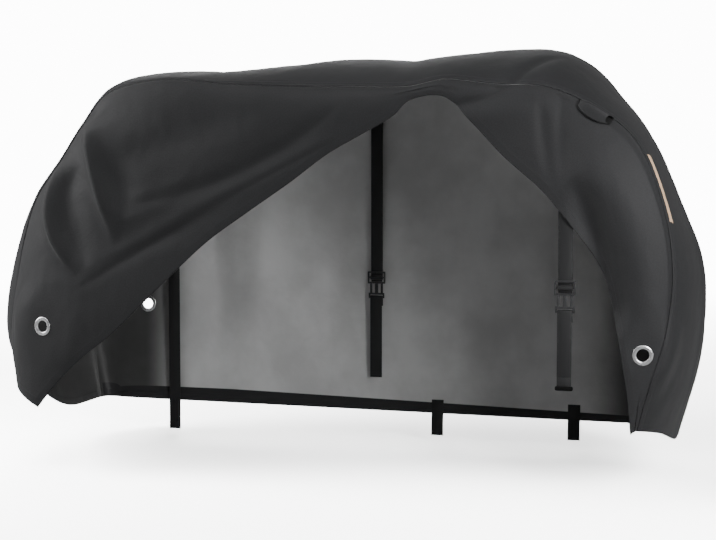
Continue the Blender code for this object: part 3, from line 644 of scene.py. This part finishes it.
woven, given, result = new_group("plain_weave", (("Place", "Vector"), ("Pitch", "Float")),
                                 ("Height", "Shade"))
threads = add_node(woven, "VectorMath", {0: given.outputs["Place"], "Scale": calculate(
    woven, "DIVIDE", 2.0 * math.pi, given.outputs["Pitch"])}, operation="SCALE")
parts = add_node(woven, "SeparateXYZ", {0: threads.outputs["Vector"]})
crossing = calculate(woven, "MULTIPLY", calculate(woven, "SINE", parts.outputs["X"]),
                     calculate(woven, "SINE", parts.outputs["Y"]))
uneven = add_node(woven, "TexNoise", {"Vector": given.outputs["Place"],
                                      "Scale": 260.0, "Detail": 1.0})
# The threads are painted lighter where they rise and darker where they dip, as shade; a fine
# noise varies their tone at random.
set_inputs(woven, result, {
    "Height": calculate(woven, "MULTIPLY_ADD", crossing, 0.5, 0.5),
    "Shade": calculate(woven, "MULTIPLY_ADD", crossing, 0.16,
                       ramp(woven, uneven.outputs["Fac"], 0.3, 0.7, 0.90, 1.10))})

sewn, given, result = new_group(
    "sewn_line", (("Run", "Float"), ("Beside", "Float"), ("Pitch", "Float"), ("Width", "Float")),
    ("Mask",))
phase = calculate(sewn, "FRACT", calculate(sewn, "DIVIDE", given.outputs["Run"],
                                           given.outputs["Pitch"]))
off_middle = calculate(sewn, "ABSOLUTE", calculate(sewn, "SUBTRACT", phase, 0.5))
off_line = calculate(sewn, "DIVIDE", calculate(sewn, "ABSOLUTE", given.outputs["Beside"]),
                     given.outputs["Width"])
set_inputs(sewn, result, {"Mask": calculate(
    sewn, "MULTIPLY", ramp(sewn, off_middle, 0.40, 0.30), ramp(sewn, off_line, 0.55, 0.35))})


def painted(tree, mask, under, over):
    """One colour over another where a mask is white."""
    return add_node(tree, "Mix", {"Factor": mask, 6: under, 7: over}, data_type="RGBA").outputs[2]


def scaled(tree, colour, shade):
    """A colour made lighter or darker."""
    made = add_node(tree, "VectorMath", {0: colour, "Scale": shade}, operation="SCALE")
    return made.outputs["Vector"]


def read(tree, name):
    """An attribute of the mesh."""
    return add_node(tree, "Attribute", attribute_name=name).outputs["Fac"]


def cloth_material(name, side, lines, band_and_painted_shade_mask=None, stripe=None, band_and_painted_shade_colour=CLOTH_BLACK):
    """Coated polyester: black plain weave outside, silver coating inside, painted
    darker towards both ends as shade. side tells how the weave lies, lines where
    it is sewn beside an edge, and stripe where the stripe's colour shows. A mask
    and a colour laid over the coating give the black of a turned hem on the far
    side, and painted shade inside the grab loops."""
    material, tree = new_material(name)
    spot = add_node(tree, "TexCoord").outputs["Object"]
    axes = add_node(tree, "SeparateXYZ", {0: spot})
    if side:
        flat = {"X": axes.outputs["X"], "Y": axes.outputs["Z"]}
    else:
        flat = {"X": read(tree, "run"), "Y": read(tree, "fall")}
    place = add_node(tree, "CombineXYZ", flat)
    weave = add_node(tree, "Group", {"Place": place.outputs[0], "Pitch": WEAVE_PITCH},
                     node_tree=woven)
    cloudy = add_node(tree, "TexNoise", {"Vector": spot, "Scale": 2.2, "Detail": 3.0})
    # The weave's painted shade, times a cloudy tone that varies at random.
    shade = calculate(tree, "MULTIPLY", weave.outputs["Shade"],
                      ramp(tree, cloudy.outputs["Fac"], 0.25, 0.75, 0.90, 1.10))
    outside = scaled(tree, CLOTH_BLACK, shade)
    if stripe is not None:
        outside = painted(tree, stripe(tree), outside, STRIPE_TAN)
    patches = add_node(tree, "TexNoise", {"Vector": spot, "Scale": 4.5, "Detail": 4.0,
                                          "Roughness": 0.6})
    # Painted shade: the coating is darker towards both ends, times random patches of tone.
    to_end = calculate(tree, "ABSOLUTE", axes.outputs["X"])
    end_shade_and_patches = calculate(tree, "MULTIPLY", ramp(tree, to_end, *END_SHADE_FROM_TO, 1.0, END_SHADE),
                     ramp(tree, patches.outputs["Fac"], 0.30, 0.72, 0.84, 1.06))
    coating = scaled(tree, COATING, end_shade_and_patches)
    # Over the coating goes the black of a turned hem, and painted shade inside the grab loops.
    if band_and_painted_shade_mask is not None:
        coating = painted(tree, band_and_painted_shade_mask(tree), coating, (*band_and_painted_shade_colour, 1.0))
    inside = read(tree, "inside")
    stitched = 0.0
    for attribute, distance in lines:
        beside = calculate(tree, "SUBTRACT", read(tree, attribute), distance)
        row = add_node(tree, "Group", {"Run": read(tree, "run"), "Beside": beside,
                                       "Pitch": SEWN_PITCH, "Width": SEWN_WIDTH}, node_tree=sewn)
        stitched = calculate(tree, "MAXIMUM", row.outputs["Mask"], stitched)
    colour = painted(tree, stitched, painted(tree, inside, outside, coating), (*THREAD, 1.0))
    fine = add_node(tree, "TexNoise", {"Vector": spot, "Scale": 55.0, "Detail": 3.0,
                                       "Roughness": 0.6})
    height = calculate(tree, "ADD",
                       calculate(tree, "MULTIPLY", weave.outputs["Height"], WEAVE_DEPTH),
                       calculate(tree, "MULTIPLY", stitched, STITCH_DEPTH))
    height = calculate(tree, "MULTIPLY_ADD", fine.outputs["Fac"], WRINKLE_DEPTH, height)
    bump = add_node(tree, "Bump", {"Height": height, "Strength": 0.9, "Distance": 1.0})
    set_inputs(tree, tree.nodes["Principled BSDF"], {
        "Base Color": colour, "Normal": bump.outputs["Normal"],
        "Roughness": ramp(tree, inside, 0.0, 1.0, OUTER_ROUGHNESS, INNER_ROUGHNESS),
        "Sheen Weight": 0.07, "Sheen Roughness": 0.45, "Specular IOR Level": 0.30})
    return material


near_cloth = cloth_material("near_side_cloth", True, (("hem_distance", HEM_STITCH),))
near_panel = cloth_piece("near_side_cloth", near_cloth, first=0.0, last=-1.0,
                         columns=440, rows=84, two_seams=False, seats=SEATS[:2])
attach(near_panel, "root")
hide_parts("near_side_panel")

# ------------------------- top strip
# One long strip runs up the rear end, over the top and down the front end. Its
# edges are felled over both side panels with two lines of stitches, and taped
# inside. A plain tan stripe is printed by the near seam at the front.
STRIPE_TAN = (0.80, 0.55, 0.36, 1.0)
STRIPE_RUN = (2.558, 2.740)
STRIPE_FALL = (0.0138, 0.0345)
STRIPE_SQUARE = -1.6
STRIPE_SOFT = 0.0004


def stripe_mask(tree):
    """White on the printed stripe, black elsewhere on the strip."""
    run, fall = read(tree, "run"), read(tree, "fall")
    run = calculate(tree, "MULTIPLY_ADD", fall, STRIPE_SQUARE, run)
    mask = 1.0
    for value, low, high in ((run, *STRIPE_RUN), (fall, *STRIPE_FALL)):
        for out_at, in_at in ((low - STRIPE_SOFT, low + STRIPE_SOFT),
                              (high + STRIPE_SOFT, high - STRIPE_SOFT)):
            mask = calculate(tree, "MULTIPLY", mask, ramp(tree, value, out_at, in_at))
    return mask


TAPE = 0.0005
TAPE_CLEAR = 0.0004
TAPE_ROWS = (-0.0110, -0.0105, -0.0060, -0.0020, 0.0, 0.0020, 0.0060, 0.0105, 0.0110)
TAPE_COLUMNS = 380
TAPE_LOOKS = np.linspace(0.0, 0.12, 9)


def seam_tape(bm, seam):
    """The waterproof tape sealed over a seam on its inner side."""
    along = columns_along(seam, TAPE_COLUMNS)
    places = np.array(TAPE_ROWS)
    grids = []
    for way, rows in ((-1.0, places[places < 0.0]), (1.0, places[places >= 0.0])):
        run = measured(skin_grid(along, np.tile(seam + way * TAPE_LOOKS, (len(along), 1))), 1)
        spots = [seam + way * np.interp(np.abs(rows), rib, TAPE_LOOKS) for rib in run]
        grids.append(np.array(spots))
    across = np.concatenate(grids, axis=1)
    a = np.repeat(along[:, None], across.shape[1], axis=1)
    normal = outward(cover_skin, a.ravel(), across.ravel()).reshape(*across.shape, 3)
    grid = skin_grid(along, across)
    depth = CLOTH + TAPE_CLEAR
    far = np.full(across.shape, FAR_AWAY)
    values = {"seam_distance": far, "hem_distance": far, "run": far * 0.0, "fall": far * 0.0}
    before = set(bm.faces)
    sheet_mesh(bm, grid - normal * depth, grid - normal * (depth + TAPE), values)
    thicken(bm, [face for face in bm.faces if face not in before])


strip_cloth = cloth_material("top_strip_cloth", False,
                             (("seam_distance", SEAM_LINE), ("seam_distance", FELL_LINE),
                              ("hem_distance", HEM_STITCH)), stripe=stripe_mask)
top_panel = cloth_piece("top_strip_cloth", strip_cloth, first=0.0, last=1.0,
                        columns=400, rows=60, two_seams=True, seats=[])
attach(top_panel, "root")
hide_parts("top_strip")

# -------------------- far side panel
# The far side hangs full to its hem, in wide soft folds. Its silver coating
# shows through the arch, above the black band of its turned hem.
FAR_BAND_REAR, FAR_BAND_FRONT = 0.045, 0.022
FAR_BAND_X = (-0.5, 0.85)
FAR_BAND_SOFT = 0.0006


def far_band_mask(tree):
    """White on the black band along the hem, which narrows to the front."""
    place = add_node(tree, "SeparateXYZ", {0: add_node(tree, "TexCoord").outputs["Object"]})
    width = add_node(tree, "MapRange", {
        "Value": place.outputs["X"], "From Min": FAR_BAND_X[0], "From Max": FAR_BAND_X[1],
        "To Min": FAR_BAND_REAR, "To Max": FAR_BAND_FRONT})
    above = calculate(tree, "SUBTRACT", read(tree, "hem_distance"), width.outputs["Result"])
    return ramp(tree, above, FAR_BAND_SOFT, -FAR_BAND_SOFT)


far_cloth = cloth_material("far_side_cloth", True, (("hem_distance", HEM_STITCH),),
                           band_and_painted_shade_mask=far_band_mask)
far_panel = cloth_piece("far_side_cloth", far_cloth, first=1.0, last=2.0,
                        columns=320, rows=60, two_seams=False, seats=SEATS[2:])
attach(far_panel, "root")
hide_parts("far_side_panel")

# --------------------------- eyelets
# Two-part pressed eyelets of bright metal, one in each lower corner: a domed
# ring with its edge rolled under, and a flat ring clinched over it behind.
BRIGHT, TARNISHED = (0.93, 0.93, 0.94, 1.0), (0.80, 0.80, 0.81, 1.0)
EYELET_TURNS = 96
# The section of both rings: how far out from the middle, and how far forward.
RING_PROFILE = (
    (0.0182, 0.0015), (0.0215, 0.0015), (0.0248, 0.0014), (0.0262, 0.0015), (0.0265, 0.0019),
    (0.0260, 0.0025), (0.0245, 0.0031), (0.0220, 0.0035), (0.0196, 0.0034), (0.0180, 0.0029),
    (0.0170, 0.0020), (0.0166, 0.0008), (0.0165, -0.0010), (0.0165, -0.0024), (0.0168, -0.0030),
    (0.0175, -0.0033), (0.0184, -0.0032), (0.0191, -0.0028), (0.0210, -0.0025), (0.0240, -0.0024),
    (0.0260, -0.0022), (0.0265, -0.0018), (0.0260, -0.0015), (0.0215, -0.0015), (0.0182, -0.0015),
    (0.0181, 0.0))

bright_metal, tree = new_material("eyelet_metal")
spot = add_node(tree, "TexCoord").outputs["Object"]
tarnish = add_node(tree, "TexNoise", {"Vector": spot, "Scale": 120.0, "Detail": 4.0})
tarnish = tarnish.outputs["Fac"]
set_inputs(tree, tree.nodes["Principled BSDF"], {
    "Base Color": painted(tree, ramp(tree, tarnish, 0.35, 0.75), BRIGHT, TARNISHED),
    "Roughness": ramp(tree, tarnish, 0.3, 0.8, 0.26, 0.38), "Metallic": 1.0})

for node, (middle, direction) in zip(EYELET_NODES, SEATS):
    bm = bmesh.new()
    ring = [bm.verts.new((radius, 0.0, height)) for radius, height in RING_PROFILE]
    edges = [bm.edges.new((ring[i - 1], ring[i])) for i in range(len(ring))]
    bmesh.ops.spin(bm, geom=ring + edges, cent=(0, 0, 0), axis=(0, 0, 1),
                   angle=2.0 * math.pi, steps=EYELET_TURNS, use_merge=True)
    facing = Vector(direction).to_track_quat("Z", "Y").to_matrix().to_4x4()
    bmesh.ops.transform(bm, matrix=Matrix.Translation(middle) @ facing, verts=bm.verts[:])
    eyelet = show(node + "_ring", bm, bright_metal)
    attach(eyelet, "root")
    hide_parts(node)

# -------------------- webbing straps
# Polyester webbing sewn inside the two sides, woven in fine ribs across its
# width. The near tail and the rear strap end in folds, each sewn in a box.
WEBBING_BLACK = (0.008, 0.008, 0.009)
# The rolled end is painted darker than the webbing it is rolled from, as shade.
ROLLED_END_SHADE = (0.003, 0.003, 0.003)
RIB = 0.0026
RIB_DEPTH = 0.0003
MERGE = 0.00002
STRAP_EDGE = 0.0005
STITCH = (0.0009, 0.0038, 0.0005)
STITCH_PITCH = 0.0056
STITCH_ROUND = 0.8


def webbing_material(name, colour, gloss=0.5):
    """Ribbed webbing that hangs straight down."""
    material, tree = new_material(name)
    axes = add_node(tree, "SeparateXYZ", {0: add_node(tree, "TexCoord").outputs["Object"]})
    across, along = axes.outputs["X"], axes.outputs["Z"]
    ribs = calculate(tree, "ABSOLUTE", calculate(tree, "SINE", calculate(
        tree, "MULTIPLY", along, math.pi / RIB)))
    warp = calculate(tree, "SINE", calculate(tree, "MULTIPLY", across, 2.0 * math.pi / RIB))
    relief = calculate(tree, "MULTIPLY_ADD", warp, 0.25, ribs)
    # The ribs are painted lighter on their crests and darker in their grooves, as shade.
    shade = ramp(tree, relief, 0.1, 1.1, 0.7, 1.25)
    bump = add_node(tree, "Bump", {"Height": calculate(tree, "MULTIPLY", relief, RIB_DEPTH),
                                   "Strength": 0.9, "Distance": 1.0})
    set_inputs(tree, tree.nodes["Principled BSDF"], {
        "Base Color": scaled(tree, colour, shade), "Normal": bump.outputs["Normal"],
        "Roughness": ramp(tree, relief, 0.0, 1.0, 0.75, 0.55),
        "Sheen Weight": 0.10, "Sheen Roughness": 0.4, "Specular IOR Level": gloss})
    return material


def from_solid(node):
    """A fresh mesh of a node's solid, its corners merged."""
    bm = bmesh.new()
    bm.from_mesh(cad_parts[node].data)
    bmesh.ops.remove_doubles(bm, verts=bm.verts[:], dist=MERGE)
    return bm


def round_edges(bm, width, segments, angle=35.0):
    """Bevels the edges that are sharper than an angle."""
    sharp = [edge for edge in bm.edges if len(edge.link_faces) == 2
             and edge.calc_face_angle(0.0) > math.radians(angle)]
    bmesh.ops.bevel(bm, geom=sharp, offset=width, offset_type="OFFSET", affect="EDGES",
                    segments=segments, profile=0.5, material=-1, clamp_overlap=True)


def slab(bm, low, high, width, segments=2):
    """A block with rounded edges between two corners."""
    low, high = Vector(low), Vector(high)
    block = Matrix.Translation((low + high) * 0.5) @ Matrix.Diagonal((*(high - low), 1.0))
    corners = bmesh.ops.create_cube(bm, size=1.0, matrix=block)["verts"]
    edges = {edge for vert in corners for edge in vert.link_edges}
    bmesh.ops.bevel(bm, geom=list(edges), offset=width, offset_type="OFFSET", affect="EDGES",
                    segments=segments, profile=0.5, material=-1)


def stitch_line(bm, start, end, facing):
    """A row of stitches from one place to another on a face."""
    start, end, facing = Vector(start), Vector(end), Vector(facing).normalized()
    way = end - start
    count = max(1, round(way.length / STITCH_PITCH))
    along = way.normalized()
    turn = Matrix((along.cross(facing), along, facing)).transposed().to_4x4()
    for i in range(count):
        middle = start + way * ((i + 0.5) / count)
        block = Matrix.Translation(middle) @ turn @ Matrix.Diagonal((*STITCH, 1.0))
        for vert in bmesh.ops.create_cube(bm, size=1.0, matrix=block)["verts"]:
            if (vert.co - middle).dot(facing) > 0.0:
                vert.co = middle + (vert.co - middle) * STITCH_ROUND


strap_webbing = webbing_material("strap_webbing", WEBBING_BLACK)
# The rolled end's material carries that painted shade.
end_webbing = webbing_material("rolled_end", ROLLED_END_SHADE, gloss=0.1)
# How high the ends are folded up, and where the straps turn back at a buckle.
FOLDED_ENDS = {"near_strap_tail": 0.030, "rear_strap": 0.024}
FOLD_GAP, FOLD_THICK, FOLD_INSET, FOLD_BELOW, FOLD_EDGE = 0.0004, 0.0018, 0.0004, 0.0006, 0.0006
SEWN_INSET, SEWN_FOOT, SEWN_HEAD, SEWN_OUT = 0.004, 0.011, 0.003, 0.0019
TURNED_BACK = {"near_strap": -0.4506, "far_strap": 0.4308}
TURN_INSET, TURN_THICK, TURN_BELOW, TURN_ABOVE = 0.001, 0.0014, 0.006, 0.024
# The rolled end of the near tail: past the webbing's edges, half its depth,
# and how far it lies below and above the webbing's foot.
ROLL_PAST, ROLL_DEPTH, ROLL_BELOW, ROLL_ABOVE, ROLL_EDGE = 0.0045, 0.006, 0.005, 0.007, 0.0045
STRAPS = ("near_strap", "near_strap_tail", "far_strap", "far_strap_tail", "rear_strap",
          "middle_hem_strap", "front_hem_strap")
for node in STRAPS:
    bm = from_solid(node)
    places = np.array([vert.co for vert in bm.verts])
    low, high = Vector(places.min(0)), Vector(places.max(0))
    round_edges(bm, STRAP_EDGE, 2)
    fold = FOLDED_ENDS.get(node, 0.0)
    if fold:
        face = min(v.co.y for v in bm.verts if v.co.z < low.z + fold) - FOLD_GAP
        slab(bm, (low.x + FOLD_INSET, face - FOLD_THICK, low.z - FOLD_BELOW),
             (high.x - FOLD_INSET, face, low.z + fold), FOLD_EDGE)
        left, right = low.x + SEWN_INSET, high.x - SEWN_INSET
        foot, head = low.z + SEWN_FOOT, low.z + fold - SEWN_HEAD
        sewn_y = face - SEWN_OUT
        corners = ((left, foot), (right, foot), (right, head), (left, head))
        for i, (x, z) in enumerate(corners):
            next_x, next_z = corners[(i + 1) % 4]
            stitch_line(bm, (x, sewn_y, z), (next_x, sewn_y, next_z), (0, -1, 0))
    if node in TURNED_BACK:
        bar = TURNED_BACK[node]
        slab(bm, (low.x + TURN_INSET, bar, low.z - TURN_BELOW),
             (high.x - TURN_INSET, bar + TURN_THICK, low.z + TURN_ABOVE), STRAP_EDGE)
    strap = show(node + "_webbing", bm, strap_webbing)
    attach(strap, "root")
    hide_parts(node)
    if node == "near_strap_tail":
        bm = bmesh.new()
        slab(bm, (low.x - ROLL_PAST, face - ROLL_DEPTH, low.z - ROLL_BELOW),
             (high.x + ROLL_PAST, face + ROLL_DEPTH, low.z + ROLL_ABOVE), ROLL_EDGE, 4)
        stop = show("near_strap_tail_end", bm, end_webbing)
        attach(stop, "root")
        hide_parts(node)

# ------------------------ grab loops
# A short band of the cover's own cloth, doubled, laid round into a tube and
# caught in each long seam near the front, to pull the cover on and off.
LOOP_RUN = (0.746, 0.828)
LOOP_DROP = 0.034
LOOP_BULGE = 0.017
LOOP_LIFT = 0.0045
LOOP_CLOTH = 0.0022
LOOP_GAP = 0.12
LOOP_STEPS = 49
# The open front end: how far it is cut back, where round the tube, how wide.
LOOP_BITE, BITE_AT, BITE_WIDTH = 0.16, 1.65, 0.95
# How far the band hangs out at its ends, how much more between, how round.
SLACK_END, SLACK_MORE, SLACK_ROUND = 0.60, 0.52, 0.7
LOOP_LEAN, LOOP_SCALE = 0.8, 1.22
BELOW_SEAM, BESIDE_SEAM = 0.05, 0.02
SEAM_LOOKS = np.linspace(0.62, 0.84, 200)
# Near-black painted shade inside the tube, where no light reaches.
LOOP_PAINTED_SHADE = (0.001, 0.001, 0.001)


def shaded(tree):
    """All of the tube's inner side, painted near-black as shade, since no light reaches it."""
    return 1.0


loop_cloth = cloth_material("grab_loop_cloth", True, (), band_and_painted_shade_mask=shaded, band_and_painted_shade_colour=LOOP_PAINTED_SHADE)


def loop_line(turn):
    """The doubled band across the seam, as drop and lift from it: out over the
    bulge, slanting back to the cover, and flat along it."""
    bulge = np.maximum(np.sin(turn), 0.0) * (1.0 + LOOP_LEAN * np.cos(turn)) / LOOP_SCALE
    return 0.5 * (1.0 - np.cos(turn)) * LOOP_DROP, LOOP_LIFT + LOOP_BULGE * bulge


for node, seam, way in (("near_grab_loop", 0.0, -1.0), ("far_grab_loop", 1.0, 1.0)):
    seam_x = cover_skin(SEAM_LOOKS, np.full_like(SEAM_LOOKS, seam))[:, 0]
    turn = np.linspace(LOOP_GAP, 2.0 * math.pi - LOOP_GAP, LOOP_STEPS)
    drop, lift = loop_line(turn)
    bite = np.sqrt(np.clip(1.0 - ((turn - BITE_AT) / BITE_WIDTH) ** 2, 0.0, 1.0))
    share = np.linspace(0.0, 1.0, LOOP_STEPS)[:, None] * (1.0 - LOOP_BITE * bite)
    places = LOOP_RUN[0] + (LOOP_RUN[1] - LOOP_RUN[0]) * share
    along = np.interp(places, seam_x, SEAM_LOOKS).ravel()
    slack = (SLACK_END + SLACK_MORE * np.sin(math.pi * share) ** SLACK_ROUND)[..., None]
    edge = cover_skin(along, np.full_like(along, seam))
    below = cover_skin(along, np.full_like(along, seam + way * BELOW_SEAM))
    out = outward(cover_skin, along, np.full_like(along, seam + way * BESIDE_SEAM))
    edge, down, out = (each.reshape(*share.shape, 3) for each in (edge, unit(below - edge), out))
    outer = edge + slack * (down * drop[:, None] + out * lift[:, None])
    inner = outer - grid_normals(outer, way) * LOOP_CLOTH
    bm = bmesh.new()
    sheet_mesh(bm, outer, inner, {})
    thicken(bm, bm.faces[:])
    loop = show(node + "_band", bm, loop_cloth)
    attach(loop, "root")
    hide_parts(node)

# ---------------------- strap buckles
# Moulded black buckles: a ladder frame that the strap comes down to, and the
# fork of the tail hooked into it.
BUCKLE_BLACK = (0.026, 0.026, 0.028)
BUCKLE_ROUGHNESS = 0.46
BUCKLE_EDGE, BUCKLE_SHARP = 0.0011, 40.0
FLAT_WITHIN = 2.0

buckle_black, tree = new_material("buckle_plastic")
set_inputs(tree, tree.nodes["Principled BSDF"],
           {"Base Color": (*BUCKLE_BLACK, 1.0), "Roughness": BUCKLE_ROUGHNESS})

for side in ("near", "far"):
    for piece in ("frame", "fork"):
        node = side + "_strap_buckle_" + piece
        bm = from_solid(node)
        bmesh.ops.dissolve_limit(bm, angle_limit=math.radians(FLAT_WITHIN),
                                 verts=bm.verts[:], edges=bm.edges[:])
        round_edges(bm, BUCKLE_EDGE, 3)
        buckle = show(node + "_moulding", bm, buckle_black, sharp=BUCKLE_SHARP)
        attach(buckle, "root")
        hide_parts(node)
